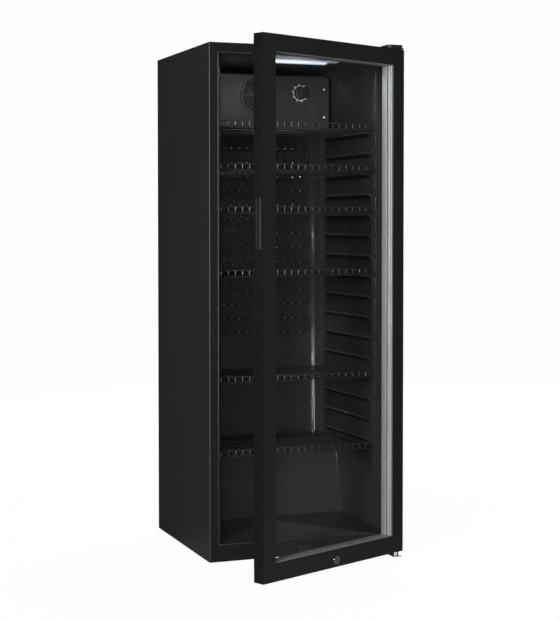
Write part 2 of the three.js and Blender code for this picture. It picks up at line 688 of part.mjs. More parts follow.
function feet() {
  const sides = [['left', FEET.x[0]], ['right', FEET.x[1]]];
  const ends = [['front', FEET.y[0]], ['rear', FEET.y[1]]];
  const list = [];
  for (const [endName, y] of ends) {
    for (const [sideName, x] of sides) {
      const top = FOOT_HEIGHT + FEET.thread;
      const profile = [
        [0, 0], [FEET.pad, 0], [FEET.pad, FEET.rim], [FEET.pad - FEET.rim, FEET.crown],
        [FEET.stem, FEET.crown], [FEET.stem, top], [0, top],
      ];
      const foot = turnedZ(profile, 20).translate(x, y, -FOOT_HEIGHT);
      list.push(node(`foot_${endName}_${sideName}`, foot, 'blackPlastic'));
    }
  }
  return list;
}

// ---------------------------------------------------------------- door, drawn closed
const DOOR_FRONT = -(GASKET.thick + DOOR.thick);
const DOOR_BACK = -GASKET.thick;

// the rectangle inside the door frame at a share (0 to 1) of its members' widths
function doorRect(share, extra = 0) {
  return {
    x0: share * DOOR.stile + extra,
    x1: CAB.w - share * DOOR.stile - extra,
    z0: DOOR.z0 + share * DOOR.railBottom + extra,
    z1: DOOR.z1 - share * DOOR.railTop - extra,
  };
}

// one mitred member's outline between two shares of its width, its ends `m` inside the mitres
function memberOutline(side, from, to, m = GAP / 2) {
  const a = doorRect(from);
  const b = doorRect(to);
  const corners = {
    left: [[a.x0, a.z0 + m], [b.x0, b.z0 + m], [b.x0, b.z1 - m], [a.x0, a.z1 - m]],
    right: [[a.x1, a.z1 - m], [b.x1, b.z1 - m], [b.x1, b.z0 + m], [a.x1, a.z0 + m]],
    bottom: [[a.x1 - m, a.z0], [b.x1 - m, b.z0], [b.x0 + m, b.z0], [a.x0 + m, a.z0]],
    top: [[a.x0 + m, a.z1], [b.x0 + m, b.z1], [b.x1 - m, b.z1], [a.x1 - m, a.z1]],
  };
  return polygon(corners[side].reverse());
}

function doorMember(name, side, cutters) {
  const body = extrudeY(memberOutline(side, 0, REBATE), DOOR_FRONT, DOOR_BACK);
  const lip = extrudeY(memberOutline(side, REBATE, 1), DOOR_FRONT, DOOR_FRONT + LIP);
  const wallShare = PROFILE_WALL / DOOR.stile;
  const hollow = memberOutline(side, wallShare, REBATE - wallShare, -1);
  const chamber = extrudeY(hollow, DOOR_FRONT + PROFILE_WALL, DOOR_BACK - PROFILE_WALL);
  return node(name, cut(join(body, lip), chamber, ...cutters), 'blackPaint');
}

function rectRing(outer, inner, y0, y1) {
  const shape = rectangle(outer.x0, outer.x1, outer.z0, outer.z1);
  shape.holes.push(rectangle(inner.x0, inner.x1, inner.z0, inner.z1));
  return extrudeY(shape, y0, y1);
}

function doorFrame() {
  const { x, y } = HINGE_AXIS;
  const bushHole = PIN.bush + GAP;
  const topHole = rodZ(x, y, bushHole, DOOR.z1 - 22, DOOR.z1 + 1);
  const bottomHole = rodZ(x, y, bushHole, DOOR.z0 - 1, DOOR.z0 + 22);
  const lockHole = rodY(LOCK.x, LOCK.z, LOCK.body + GAP, DOOR_FRONT - 1, DOOR_BACK + 1, 24);
  const pocketY = DOOR_FRONT + HANDLE.fromFront;
  const pocket = box(-1, HANDLE.deep, pocketY, pocketY + HANDLE.wide, HANDLE.z0, HANDLE.z1);
  return [
    doorMember('door_stile_free', 'left', [pocket]),
    doorMember('door_stile_hinge', 'right', [topHole, bottomHole]),
    doorMember('door_rail_top', 'top', [topHole]),
    doorMember('door_rail_bottom', 'bottom', [bottomHole, lockHole]),
  ];
}

function glazing() {
  const edge = doorRect(REBATE, GAP);
  const reveal = doorRect(1, 2);
  const pane = (y0) => box(edge.x0, edge.x1, y0, y0 + PANE, edge.z0, edge.z1);
  const front = DOOR_FRONT + LIP + GAP;
  const spacerY = front + PANE + GAP;
  const rear = spacerY + CAVITY_OF_GLASS;
  const beadY = rear + PANE + GAP;
  const spacerOut = doorRect(REBATE, 4);
  const bead = join(
    rectRing(edge, reveal, beadY, DOOR_BACK),
    rectRing(doorRect(1, -2), reveal, DOOR_BACK, BEAD_BACK),
  );
  return [
    node('glass_front', pane(front), 'glass'),
    node('glass_spacer', rectRing(spacerOut, reveal, spacerY, rear - GAP), 'aluminium'),
    node('glass_rear', pane(rear), 'glass'),
    node('glazing_bead', bead, 'aluminium'),
  ];
}

function gasket() {
  const { side, top, bottom, wide } = GASKET;
  const outer = { x0: side, x1: CAB.w - side, z0: DOOR.z0 + bottom, z1: DOOR.z1 - top };
  const inner = {
    x0: outer.x0 + wide, x1: outer.x1 - wide, z0: outer.z0 + wide, z1: outer.z1 - wide,
  };
  return node('door_gasket', rectRing(outer, inner, DOOR_BACK + GAP, -GAP), 'rubber');
}

function handleCup() {
  const { z0, z1, fromFront, wide, deep, wall } = HANDLE;
  const y0 = DOOR_FRONT + fromFront;
  const cup = box(0, deep - GAP, y0 + GAP, y0 + wide - GAP, z0 + GAP, z1 - GAP);
  const hollow = box(-1, deep - GAP - wall, y0 + GAP + wall, y0 + wide - GAP - wall,
    z0 + GAP + wall, z1 - GAP - wall);
  return node('handle_cup', cut(solid(cup), hollow), 'blackPlastic');
}

function lockBody() {
  const ring = rodY(LOCK.x, LOCK.z, LOCK.ring, DOOR_FRONT - 2.6, DOOR_FRONT - GAP, 28);
  const barrel = rodY(LOCK.x, LOCK.z, LOCK.body, DOOR_FRONT - 1, DOOR_BACK + 0.8, 24);
  const bore = rodY(LOCK.x, LOCK.z, LOCK.cylinder + 0.5, DOOR_FRONT - 4, DOOR_BACK + 2, 24);
  return node('lock_body', cut(join(ring, barrel), bore), 'chrome');
}

function lockCylinder() {
  const front = DOOR_FRONT - 3.2;
  const barrel = rodY(LOCK.x, LOCK.z, LOCK.cylinder, front, DOOR_BACK + 3.3, 24);
  const keyway = box(LOCK.x - 0.9, LOCK.x + 0.9, front - 1, front + 8, LOCK.z - 3.6, LOCK.z + 3.6);
  return node('lock_cylinder', cut(solid(barrel), keyway), 'chrome');
}

// unlocked, the cam lies level towards the free edge
function lockCam() {
  const bar = new THREE.Shape();
  bar.absarc(LOCK.x, LOCK.z, 5, -Math.PI / 2, Math.PI / 2, false);
  bar.lineTo(LOCK.x - LOCK.cam, LOCK.z + 4);
  bar.lineTo(LOCK.x - LOCK.cam, LOCK.z - 4);
  return node('lock_cam', extrudeY(bar, DOOR_BACK + 3.6, DOOR_BACK + 6.6, 8), 'zinc');
}

function hingeBushes() {
  const { x, y } = HINGE_AXIS;
  const spans = [['top', DOOR.z1 - 21.7, DOOR.z1 - GAP], ['bottom', DOOR.z0 + GAP, DOOR.z0 + 21.7]];
  return spans.map(([name, z0, z1]) => {
    const bore = rodZ(x, y, PIN.r + PIN.clear, z0 - 1, z1 + 1);
    return node(`hinge_bush_${name}`, cut(solid(rodZ(x, y, PIN.bush, z0, z1)), bore), 'whitePlastic');
  });
}

// ---------------------------------------------------------------- assembly
const cabinet = new THREE.Group();
cabinet.add(outerShell(), basePan(), foam(), liner(), rearPanel());
cabinet.add(fanCover(), fanGrille(), fanMotor(), fanRotor(), ...coverScrews());
cabinet.add(thermostatBody(), thermostatKnob(), lampHousing(), lampLens(), lampSwitch());
cabinet.add(...evaporator(), ...Array.from({ length: SHELF_LEDGES.length + 1 }, (_, i) => shelf(i)));
cabinet.add(...compressorParts(), filterDrier(), machineCover(), powerInlet(), ...condenser());
cabinet.add(...topHinge(), ...bottomHinge(), strikePlate(), ...feet());

// the door turns about its hinge axis, and is drawn with that axis at its own origin
const door = new THREE.Group();
const leaf = new THREE.Group();
leaf.add(...doorFrame(), ...glazing(), gasket(), handleCup(), ...hingeBushes());
leaf.add(lockBody(), lockCylinder(), lockCam());
leaf.position.set(-HINGE_AXIS.x, -HINGE_AXIS.y, 0);
door.add(leaf);
door.position.set(HINGE_AXIS.x, HINGE_AXIS.y, 0);
door.rotation.z = DOOR_AJAR;

const cooler = new THREE.Group();
cooler.add(cabinet, door);
cooler.updateMatrixWorld(true);
const extent = new THREE.Box3().setFromObject(cooler, true);
cooler.position.set(-(extent.min.x + extent.max.x) / 2, -(extent.min.y + extent.max.y) / 2, FOOT_HEIGHT);

export default cooler;
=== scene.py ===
"""A tall glass-door wine cooler with its door ajar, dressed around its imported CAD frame.

Lengths are metres, in the frame's own axes: +Z up, +Y towards the cooler's back, +X towards
the hinges. Parts of the door are built as if it were shut, then turned open with it.
"""

import json
import math

import bmesh
import bpy
from mathutils import Matrix, Vector


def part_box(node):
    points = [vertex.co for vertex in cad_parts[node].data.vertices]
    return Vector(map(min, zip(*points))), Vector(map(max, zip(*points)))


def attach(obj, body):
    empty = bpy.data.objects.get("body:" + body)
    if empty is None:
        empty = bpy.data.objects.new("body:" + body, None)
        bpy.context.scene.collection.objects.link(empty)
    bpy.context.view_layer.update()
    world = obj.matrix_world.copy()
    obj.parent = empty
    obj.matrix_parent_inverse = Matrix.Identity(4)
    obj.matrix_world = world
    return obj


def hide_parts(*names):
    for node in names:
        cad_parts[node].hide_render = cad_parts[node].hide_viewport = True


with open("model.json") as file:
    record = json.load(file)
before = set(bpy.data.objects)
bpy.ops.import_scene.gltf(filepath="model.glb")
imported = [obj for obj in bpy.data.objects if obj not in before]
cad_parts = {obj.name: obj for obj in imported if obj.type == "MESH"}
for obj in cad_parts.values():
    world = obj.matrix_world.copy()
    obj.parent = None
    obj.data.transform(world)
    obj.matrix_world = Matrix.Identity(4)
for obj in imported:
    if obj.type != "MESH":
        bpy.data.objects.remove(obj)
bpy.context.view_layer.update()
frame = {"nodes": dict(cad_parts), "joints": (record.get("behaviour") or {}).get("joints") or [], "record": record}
NODES = frame["nodes"]
SLOT_OF = {part["node"]: part["material_slot"] for part in frame["record"]["subparts"]}
BODY_OF = {n: body for body, ns in frame["record"]["behaviour"]["bodies"].items() for n in ns}
MM = 0.001

DOOR_JOINT = next(j for j in frame["joints"] if j["name"] == "door_hinge")
HINGE = Vector(DOOR_JOINT["pos_m"])
AJAR = -math.radians(DOOR_JOINT["range_deg"][0])
OPEN = Matrix.Translation(HINGE) @ Matrix.Rotation(AJAR, 4, "Z") @ Matrix.Translation(-HINGE)
SHUT = OPEN.inverted()
DOOR_BODIES = ("door", "lock")


# ------------------------------------------------------------------ camera
def make_camera():
    data = bpy.data.cameras.new("camera")
    data.sensor_width = 36
    data.lens = 85.841
    data.shift_y = -0.0598
    data.clip_end = 60
    camera = bpy.data.objects.new("camera", data)
    camera.location = (-1.6333, -4.1957, 1.0168)
    camera.rotation_euler = (math.radians(90 - 2), 0, -math.radians(20.882))
    bpy.context.scene.collection.objects.link(camera)
    bpy.context.scene.camera = camera


# ------------------------------------------------------------------ shader helpers
def new_material(name, colour, roughness, metallic=0.0, **sockets):
    """A Principled material; further sockets are given by name, with _ for a space."""
    material = bpy.data.materials.new(name)
    material.use_nodes = True
    shader = material.node_tree.nodes["Principled BSDF"]
    shader.inputs["Base Color"].default_value = (*colour, 1)
    shader.inputs["Roughness"].default_value = roughness
    shader.inputs["Metallic"].default_value = metallic
    for socket, value in sockets.items():
        shader.inputs[socket.replace("_", " ")].default_value = value
    return material


def add_node(material, kind, **inputs):
    node = material.node_tree.nodes.new(kind)
    for socket, value in inputs.items():
        node.inputs[socket.replace("_", " ")].default_value = value
    return node


def link(material, output, socket):
    material.node_tree.links.new(output, socket)


def surface_point(material, stretch=(1, 1, 1)):
    """The point on the piece in metres, stretched along each axis."""
    place = add_node(material, "ShaderNodeTexCoord")
    mapping = add_node(material, "ShaderNodeMapping", Scale=stretch)
    link(material, place.outputs["Object"], mapping.inputs["Vector"])
    return mapping.outputs["Vector"]


def noise(material, scale, detail=3.0, stretch=(1, 1, 1)):
    node = add_node(material, "ShaderNodeTexNoise", Scale=scale, Detail=detail)
    link(material, surface_point(material, stretch), node.inputs["Vector"])
    return node.outputs["Fac"]


def cells(material, scale, feature="F1"):
    node = add_node(material, "ShaderNodeTexVoronoi", Scale=scale)
    node.feature = feature
    link(material, surface_point(material), node.inputs["Vector"])
    return node


def spread(material, value, low, high, start=0.3, end=0.7):
    """value from start to end becomes low to high."""
    node = add_node(
        material, "ShaderNodeMapRange", From_Min=start, From_Max=end, To_Min=low, To_Max=high)
    link(material, value, node.inputs["Value"])
    return node.outputs["Result"]


def vary_roughness(material, value, low, high):
    shader = material.node_tree.nodes["Principled BSDF"]
    link(material, spread(material, value, low, high), shader.inputs["Roughness"])


def vary_colour(material, value, dark, light, start=0.3, end=0.7):
    shader = material.node_tree.nodes["Principled BSDF"]
    ramp = add_node(material, "ShaderNodeValToRGB")
    ramp.color_ramp.elements[0].position = start
    ramp.color_ramp.elements[1].position = end
    ramp.color_ramp.elements[0].color = (*dark, 1)
    ramp.color_ramp.elements[1].color = (*light, 1)
    link(material, value, ramp.inputs["Fac"])
    link(material, ramp.outputs["Color"], shader.inputs["Base Color"])


def add_bump(material, height, distance, strength=1.0):
    """Adds a layer of relief over any that the material already has."""
    shader = material.node_tree.nodes["Principled BSDF"]
    bump = add_node(material, "ShaderNodeBump", Distance=distance, Strength=strength)
    link(material, height, bump.inputs["Height"])
    for old in list(shader.inputs["Normal"].links):
        link(material, old.from_socket, bump.inputs["Normal"])
    link(material, bump.outputs["Normal"], shader.inputs["Normal"])


def grey(level, tint=(1, 1, 1)):
    return tuple(level * t for t in tint)


# ------------------------------------------------------------------ materials
def powder_coat(name, level, roughness, tint=(1, 1, 1), gloss=0.35):
    """Sprayed and baked paint: a fine orange peel with faint cloudiness."""
    material = new_material(name, grey(level, tint), roughness, Specular_IOR_Level=gloss)
    clouds = noise(material, 6, 4)
    vary_colour(material, clouds, grey(level * 0.96, tint), grey(level * 1.04, tint))
    vary_roughness(material, noise(material, 90, 5), roughness - 0.03, roughness + 0.03)
    add_bump(material, noise(material, 900, 2), 0.00006, 0.5)
    return material


def moulded(name, level, roughness, tint=(1, 1, 1), grain=0.00005):
    """Injection-moulded plastic with a spark-eroded grain."""
    material = new_material(name, grey(level, tint), roughness, Specular_IOR_Level=0.4)
    vary_colour(material, noise(material, 18, 3), grey(level * 0.9, tint), grey(level * 1.1, tint))
    vary_roughness(material, noise(material, 60, 4), roughness - 0.05, roughness + 0.07)
    add_bump(material, noise(material, 1600, 2), grain, 0.6)
    return material


def vacuum_formed():
    """The liner: drawn sheet, glossier than the paint, with long soft waves."""
    level = 0.024
    material = new_material("vacuum_formed_liner", grey(level), 0.3, Specular_IOR_Level=0.4)
    vary_colour(material, noise(material, 3, 3), grey(level * 0.94), grey(level * 1.06))
    vary_roughness(material, noise(material, 9, 4), 0.18, 0.24)
    add_bump(material, noise(material, 5, 2, (1, 1, 0.35)), 0.0004, 0.1)
    add_bump(material, noise(material, 1300, 2), 0.00003, 0.5)
    return material


def galvanised():
    """Zinc-coated sheet with its spangle."""
    material = new_material("galvanised_sheet", grey(0.27, (0.98, 1, 1.02)), 0.55, 0.6)
    spangle = cells(material, 120).outputs["Color"]
    vary_colour(material, spangle, grey(0.25, (0.98, 1, 1.02)), grey(0.29), 0.1, 0.9)
    vary_roughness(material, spangle, 0.52, 0.58)
    add_bump(material, noise(material, 700, 3), 0.00004, 0.5)
    return material


def plated(name, level, roughness, tint=(1, 1, 1)):
    """Zinc or chrome plating over turned and pressed steel."""
    material = new_material(name, grey(level, tint), roughness, 1.0)
    vary_colour(material, noise(material, 140, 3), grey(level * 0.86, tint), grey(level, tint))
    vary_roughness(material, noise(material, 300, 4), roughness * 0.7, roughness * 1.3)
    add_bump(material, noise(material, 1500, 2), 0.00002, 0.4)
    return material


def bright_aluminium():
    """Mill-finish strip round the glazing, drawn along its length."""
    material = new_material("bright_aluminium", grey(0.34), 0.42, 0.45)
    drawn = noise(material, 260, 4, (1, 1, 0.03))
    vary_colour(material, drawn, grey(0.31), grey(0.37))
    vary_roughness(material, drawn, 0.36, 0.48)
    add_bump(material, drawn, 0.00003, 0.4)
    return material


def coated_wire():
    material = new_material("plastic_coated_wire", grey(0.014), 0.36, Specular_IOR_Level=0.35)
    vary_colour(material, noise(material, 40, 3), grey(0.012), grey(0.018))
    vary_roughness(material, noise(material, 220, 3), 0.3, 0.42)
    add_bump(material, noise(material, 700, 2), 0.00005, 0.4)
    return material


def copper():
    material = new_material("drawn_copper", (0.62, 0.3, 0.18), 0.3, 1.0)
    vary_colour(material, noise(material, 45, 4), (0.4, 0.17, 0.09), (0.68, 0.36, 0.22))
    vary_roughness(material, noise(material, 120, 4), 0.22, 0.45)
    add_bump(material, noise(material, 900, 2), 0.00003, 0.5)
    return material


def rigid_foam():
    material = new_material("polyurethane_foam", (0.66, 0.52, 0.26), 0.95)
    pores = cells(material, 420)
    vary_colour(material, noise(material, 12, 4), (0.55, 0.42, 0.2), (0.74, 0.6, 0.33))
    add_bump(material, pores.outputs["Distance"], 0.0005, 0.8)
    return material


def gasket_rubber():
    material = new_material("gasket_vinyl", grey(0.013), 0.55, Specular_IOR_Level=0.3)
    vary_colour(material, noise(material, 30, 3), grey(0.011), grey(0.017))
    vary_roughness(material, noise(material, 90, 3), 0.48, 0.65)
    add_bump(material, noise(material, 1200, 2), 0.00004, 0.6)
    return material


def lit_diffuser():
    """The lamp's lens, glowing cold white over its row of diodes."""
    material = new_material("lit_diffuser", (0.85, 0.9, 1.0), 0.35)
    shader = material.node_tree.nodes["Principled BSDF"]
    row = add_node(material, "ShaderNodeTexWave", Scale=26, Distortion=0.6, Detail=1)
    link(material, surface_point(material), row.inputs["Vector"])
    strength = spread(material, row.outputs["Fac"], 0.3, 0.75, 0.2, 0.8)
    link(material, strength, shader.inputs["Emission Strength"])
    shader.inputs["Emission Color"].default_value = (0.62, 0.74, 1.0, 1)
    add_bump(material, row.outputs["Fac"], 0.0003, 0.3)
    return material


def pane_glass():
    """Float glass: clear, with a Fresnel reflection and a faint green body."""
    material = bpy.data.materials.new("float_glass")
    material.use_nodes = True
    tree = material.node_tree
    tree.nodes.remove(tree.nodes["Principled BSDF"])
    clear = add_node(material, "ShaderNodeBsdfTransparent", Color=(0.985, 0.995, 0.99, 1))
    gloss = add_node(material, "ShaderNodeBsdfGlossy", Color=(1, 1, 1, 1), Roughness=0.02)
    share = add_node(material, "ShaderNodeFresnel", IOR=1.5)
    side = add_node(material, "ShaderNodeNewGeometry")
    front = add_node(material, "ShaderNodeMath")
    front.operation = "SUBTRACT"
    front.inputs[0].default_value = 1
    link(material, side.outputs["Backfacing"], front.inputs[1])
    outer = add_node(material, "ShaderNodeMath")
    outer.operation = "MULTIPLY"
    link(material, share.outputs["Fac"], outer.inputs[0])
    link(material, front.outputs["Value"], outer.inputs[1])
    smear = add_node(material, "ShaderNodeBump", Distance=0.0004, Strength=0.1)
    link(material, noise(material, 6, 2), smear.inputs["Height"])
    link(material, smear.outputs["Normal"], gloss.inputs["Normal"])
    mix = add_node(material, "ShaderNodeMixShader")
    link(material, outer.outputs["Value"], mix.inputs["Fac"])
    link(material, clear.outputs["BSDF"], mix.inputs[1])
    link(material, gloss.outputs["BSDF"], mix.inputs[2])
    link(material, mix.outputs["Shader"], tree.nodes["Material Output"].inputs["Surface"])
    return material


def make_materials():
    white = (0.98, 1.0, 1.02)
    return {
        "cabinet_paint": powder_coat("cabinet_powder_coat", 0.018, 0.4, gloss=0.25),
        "door_paint": powder_coat("door_frame_coat", 0.0155, 0.36, (0.95, 1.02, 0.99), 0.36),
        # painted shade: a darker copy of the door paint, for the faces on the frame's free side
        "frame_side_painted_shade": powder_coat("door_frame_side_painted_shade_coat", 0.005, 0.4, (0.95, 1.02, 0.99), 0.2),
        "galvanised_steel": galvanised(),
        "foam": rigid_foam(),
        "liner_plastic": vacuum_formed(),
        "grey_plastic": moulded("grey_moulding", 0.0165, 0.45),
        "black_plastic": moulded("black_moulding", 0.011, 0.42),
        "white_plastic": moulded("white_moulding", 0.7, 0.4, white),
        "lamp_diffuser": lit_diffuser(),
        "coated_wire": coated_wire(),
        "dull_coating": powder_coat("evaporator_dip_coat", 0.016, 0.6, gloss=0.15),
        "condenser_paint": powder_coat("condenser_black", 0.012, 0.4),
        "compressor_paint": powder_coat("compressor_black", 0.009, 0.25),
        "copper": copper(),
        "zinc_steel": plated("zinc_plate", 0.6, 0.3),
        "bright_aluminium": bright_aluminium(),
        "lock_chrome": plated("chrome_plate", 0.75, 0.1),
        "door_glass": pane_glass(),
        "gasket_rubber": gasket_rubber(),
    }


# ------------------------------------------------------------------ mesh helpers
def dress(obj, slot, body, *nodes, finish=None):
    """Gives a piece its finish and body, and hides the CAD nodes it stands for."""
    obj.data.materials.clear()
    obj.data.materials.append(LOOK[finish or slot])
    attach(obj, body)
    if nodes:
        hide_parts(*nodes)
    return obj


def to_piece(name, bm, slot, body, *nodes, smooth=35, finish=None):
    """A finished piece from a bmesh; a door piece is turned open with the door."""
    if body in DOOR_BODIES:
        bm.transform(OPEN)
    bmesh.ops.recalc_face_normals(bm, faces=bm.faces)
    mesh = bpy.data.meshes.new(name)
    bm.to_mesh(mesh)
    bm.free()
    for face in mesh.polygons:
        face.use_smooth = True
    mesh.set_sharp_from_angle(angle=math.radians(smooth))
    obj = bpy.data.objects.new(name, mesh)
    bpy.context.scene.collection.objects.link(obj)
    weighted = obj.modifiers.new("weighted", "WEIGHTED_NORMAL")
    weighted.keep_sharp = True
    return dress(obj, slot, body, *nodes, finish=finish)


def node_mesh(node):
    """A CAD node's solid with its flat faces whole; a door node's is turned shut."""
    bm = bmesh.new()
    bm.from_mesh(NODES[node].data)
    bmesh.ops.remove_doubles(bm, verts=bm.verts, dist=1e-6)
    bmesh.ops.dissolve_limit(bm, angle_limit=math.radians(1), verts=bm.verts, edges=bm.edges)
    if BODY_OF[node] in DOOR_BODIES:
        bm.transform(SHUT)
    return bm


def extent(node):
    """A CAD node's lowest and highest corners, a door node's with the door shut."""
    if BODY_OF[node] not in DOOR_BODIES:
        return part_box(node)
    points = [SHUT @ v.co for v in NODES[node].data.vertices]
    low = Vector(min(p[i] for p in points) for i in range(3))
    high = Vector(max(p[i] for p in points) for i in range(3))
    return low, high


def sharp_edges(bm, degrees=30):
    limit = math.radians(degrees)
    return [e for e in bm.edges if len(e.link_faces) == 2 and e.calc_face_angle(0) > limit]


def bevel(bm, edges, width, segments):
    bmesh.ops.bevel(
        bm, geom=edges, offset=width, segments=segments, profile=0.5, affect="EDGES",
        clamp_overlap=True, offset_type="OFFSET",
    )


def rounded(node, width, segments=2, picks=(), name=None):
    """A copy of a CAD node with rounded edges. Each pick is (test, width, segments), and its
    test says from an edge's middle and direction whether that edge takes the wider radius."""
    bm = node_mesh(node)
    for test, radius, steps in picks:
        chosen = []
        for edge in sharp_edges(bm):
            a, b = (v.co for v in edge.verts)
            if test((a + b) / 2, (b - a).normalized()):
                chosen.append(edge)
        bevel(bm, chosen, radius, steps)
    bevel(bm, sharp_edges(bm), width, segments)
    return to_piece(name or f"{node}_body", bm, SLOT_OF[node], BODY_OF[node], node)


def add_loft(bm, loops, closed=True):
    """Joins loops of equal length, the last one back to the first if closed, or else capped."""
    rings = [[bm.verts.new(p) for p in loop] for loop in loops]
    pairs = list(zip(rings, rings[1:]))
    if closed:
        pairs.append((rings[-1], rings[0]))
    for ring, following in pairs:
        for k in range(len(ring)):
            n = (k + 1) % len(ring)
            bm.faces.new((ring[k], ring[n], following[n], following[k]))
    if not closed:
        bm.faces.new(list(reversed(rings[0])))
        bm.faces.new(rings[-1])


def add_tube(bm, points, radius, sides=8, closed=False):
    """A round bar along points, with flat ends."""
    points = [Vector(p) for p in points]
    count = len(points)
    loops = []
    normal = None
    for i, point in enumerate(points):
        before = points[i - 1] if (i > 0 or closed) else point
        after = points[(i + 1) % count] if (i < count - 1 or closed) else point
        forward = (after - before).normalized()
        if normal is None:
            normal = forward.orthogonal().normalized()
        normal = (normal - forward * normal.dot(forward)).normalized()
        side = forward.cross(normal)
        turns = [2 * math.pi * k / sides for k in range(sides)]
        loops.append([point + radius * (math.cos(a) * normal + math.sin(a) * side) for a in turns])
    add_loft(bm, loops, closed)


def bent(points, radius, steps=4):
    """The path through points, with each corner turned on a radius."""
    points = [Vector(p) for p in points]
    path = [points[0]]
    for before, corner, after in zip(points, points[1:], points[2:]):
        start = corner + (before - corner).normalized() * radius
        end = corner + (after - corner).normalized() * radius
        for k in range(steps + 1):
            t = k / steps
            path.append(start * (1 - t) ** 2 + corner * 2 * t * (1 - t) + end * t * t)
    return path + [points[-1]]


def add_lathe(bm, profile, matrix, sides=24):
    """A turned solid: profile is [(radius, height)] from axis to axis, along +Z of matrix."""
    rings = []
    for radius, height in profile:
        if radius < 1e-9:
            rings.append([bm.verts.new(matrix @ Vector((0, 0, height)))])
            continue
        ring = []
        for k in range(sides):
            angle = 2 * math.pi * k / sides
            point = Vector((radius * math.cos(angle), radius * math.sin(angle), height))
            ring.append(bm.verts.new(matrix @ point))
        rings.append(ring)
    for low, high in zip(rings, rings[1:]):
        for k in range(sides):
            n = (k + 1) % sides
            if len(low) == 1 and len(high) > 1:
                bm.faces.new((low[0], high[k], high[n]))
            elif len(high) == 1 and len(low) > 1:
                bm.faces.new((low[k], low[n], high[0]))
            elif len(low) > 1:
                bm.faces.new((low[k], low[n], high[n], high[k]))


def facing(point, direction):
    """A matrix that puts +Z along direction at point."""
    return Matrix.Translation(point) @ Vector(direction).to_track_quat("Z", "Y").to_matrix().to_4x4()


def rectangle_loop(x0, x1, z0, z1, y, radius, steps=5):
    """A rounded rectangle in the plane at y, as a closed list of points."""
    loop = []
    corners = [(x1 - radius, z1 - radius, 0), (x0 + radius, z1 - radius, 90),
               (x0 + radius, z0 + radius, 180), (x1 - radius, z0 + radius, 270)]
    for cx, cz, start in corners:
        for k in range(steps + 1):
            angle = math.radians(start + 90 * k / steps)
            loop.append(Vector((cx + radius * math.cos(angle), y, cz + radius * math.sin(angle))))
    return loop


def add_block(bm, low, high, width=0.0, segments=2):
    """A block between two corners, with rounded edges."""
    made = bmesh.ops.create_cube(bm, size=1)["verts"]
    for v in made:
        v.co = Vector(high[i] if v.co[i] > 0 else low[i] for i in range(3))
    if width:
        edges = list({e for v in made for e in v.link_edges})
        bevel(bm, edges, width, segments)


def mesh_ring(x0, x1, z0, z1, profile, corner):
    """A frame of constant section: profile is a closed list of (inset, y)."""
    loops = []
    for inset, y in profile:
        radius = max(corner - inset, 0.2 * MM)
        loops.append(rectangle_loop(x0 + inset, x1 - inset, z0 + inset, z1 - inset, y, radius))
    bm = bmesh.new()
    add_loft(bm, loops)
    return bm


# ------------------------------------------------------------------ cabinet
def build_cabinet():
    low, high = extent("outer_shell")
    fold = 3 * MM

    def outer_fold(middle, direction):
        on_side = min(abs(middle.x - low.x), abs(middle.x - high.x)) < 0.1 * MM
        on_top = abs(middle.z - high.z) < 0.1 * MM
        on_front = abs(middle.y - low.y) < 0.1 * MM
        return on_side + on_top + on_front == 2

    shell = rounded("outer_shell", 0.4 * MM, 2, [(outer_fold, fold, 5)])
    # The flange's front faces take a darker copy of the cabinet paint: painted shade, so the flange reads darker
    # than the sides.
    shell.data.materials.append(powder_coat("flange_painted_shade_coat", 0.0065, 0.45, gloss=0.15))
    for face in shell.data.polygons:
        if face.normal.y < -0.98 and face.center.y < low.y + 2 * MM:
            face.material_index = 1
    rounded("base_pan", 0.5 * MM)
    build_foam()
    rounded("rear_panel", 0.3 * MM, 1)
    build_liner()


def build_foam():
    """The foam, its front kept behind the seam between flange and liner."""
    bm = node_mesh("foam_insulation")
    front = min(v.co.y for v in bm.verts)
    for v in bm.verts:
        if v.co.y < front + 0.1 * MM:
            v.co.y += 3 * MM
    bevel(bm, sharp_edges(bm), 0.8 * MM, 1)
    to_piece("foam_fill", bm, "foam", "cabinet", "foam_insulation")


def build_liner():
    low, high = extent("inner_liner")
    shelf_low, shelf_high = extent("shelf_6")
    side_left = shelf_low.x - 2 * MM
    side_right = shelf_high.x + 2 * MM
    hump_front = shelf_high.y - 140 * MM

    def hump_corner(middle, direction):
        at_wall = middle.x < side_left or middle.x > side_right
        on_hump = middle.z < shelf_low.z and middle.y > hump_front
        return at_wall and on_hump and abs(direction.z) > 0.6

    rounded("inner_liner", 1.2 * MM, 2, [(hump_corner, 14 * MM, 5)])
    build_throat_lip(low, high)
    build_wall_bands()


def build_wall_bands():
    """Shallow raised bands down both side walls, broken at each shelf ledge."""
    first, second = extent("shelf_1"), extent("shelf_2")
    pitch = (first[0].z - second[0].z) / 2
    gap = 4 * MM  # between a shelf and the wall
    proud = 1.7 * MM
    sunk = 1 * MM
    ledges = 15  # below the top shelf's
    low, high = 11 * MM, 52 * MM  # a band's ends above the ledge that it stands on
    y0, y1 = first[0].y - 7 * MM, first[0].y + 18 * MM
    spans = [(first[0].z + 34 * MM, extent("fan_cover")[1].z - 8 * MM)]
    for k in range(1, ledges + 1):
        ledge = first[0].z - k * pitch
        spans.append((ledge + low, ledge + high))
    bm = bmesh.new()
    for wall, inward in ((first[0].x - gap, 1), (first[1].x + gap, -1)):
        x0, x1 = sorted((wall - inward * sunk, wall + inward * proud))
        for z0, z1 in spans:
            add_block(bm, (x0, y0, z0), (x1, y1, z1), 1.6 * MM, 4)
    to_piece("wall_bands", bm, "liner_plastic", "cabinet")


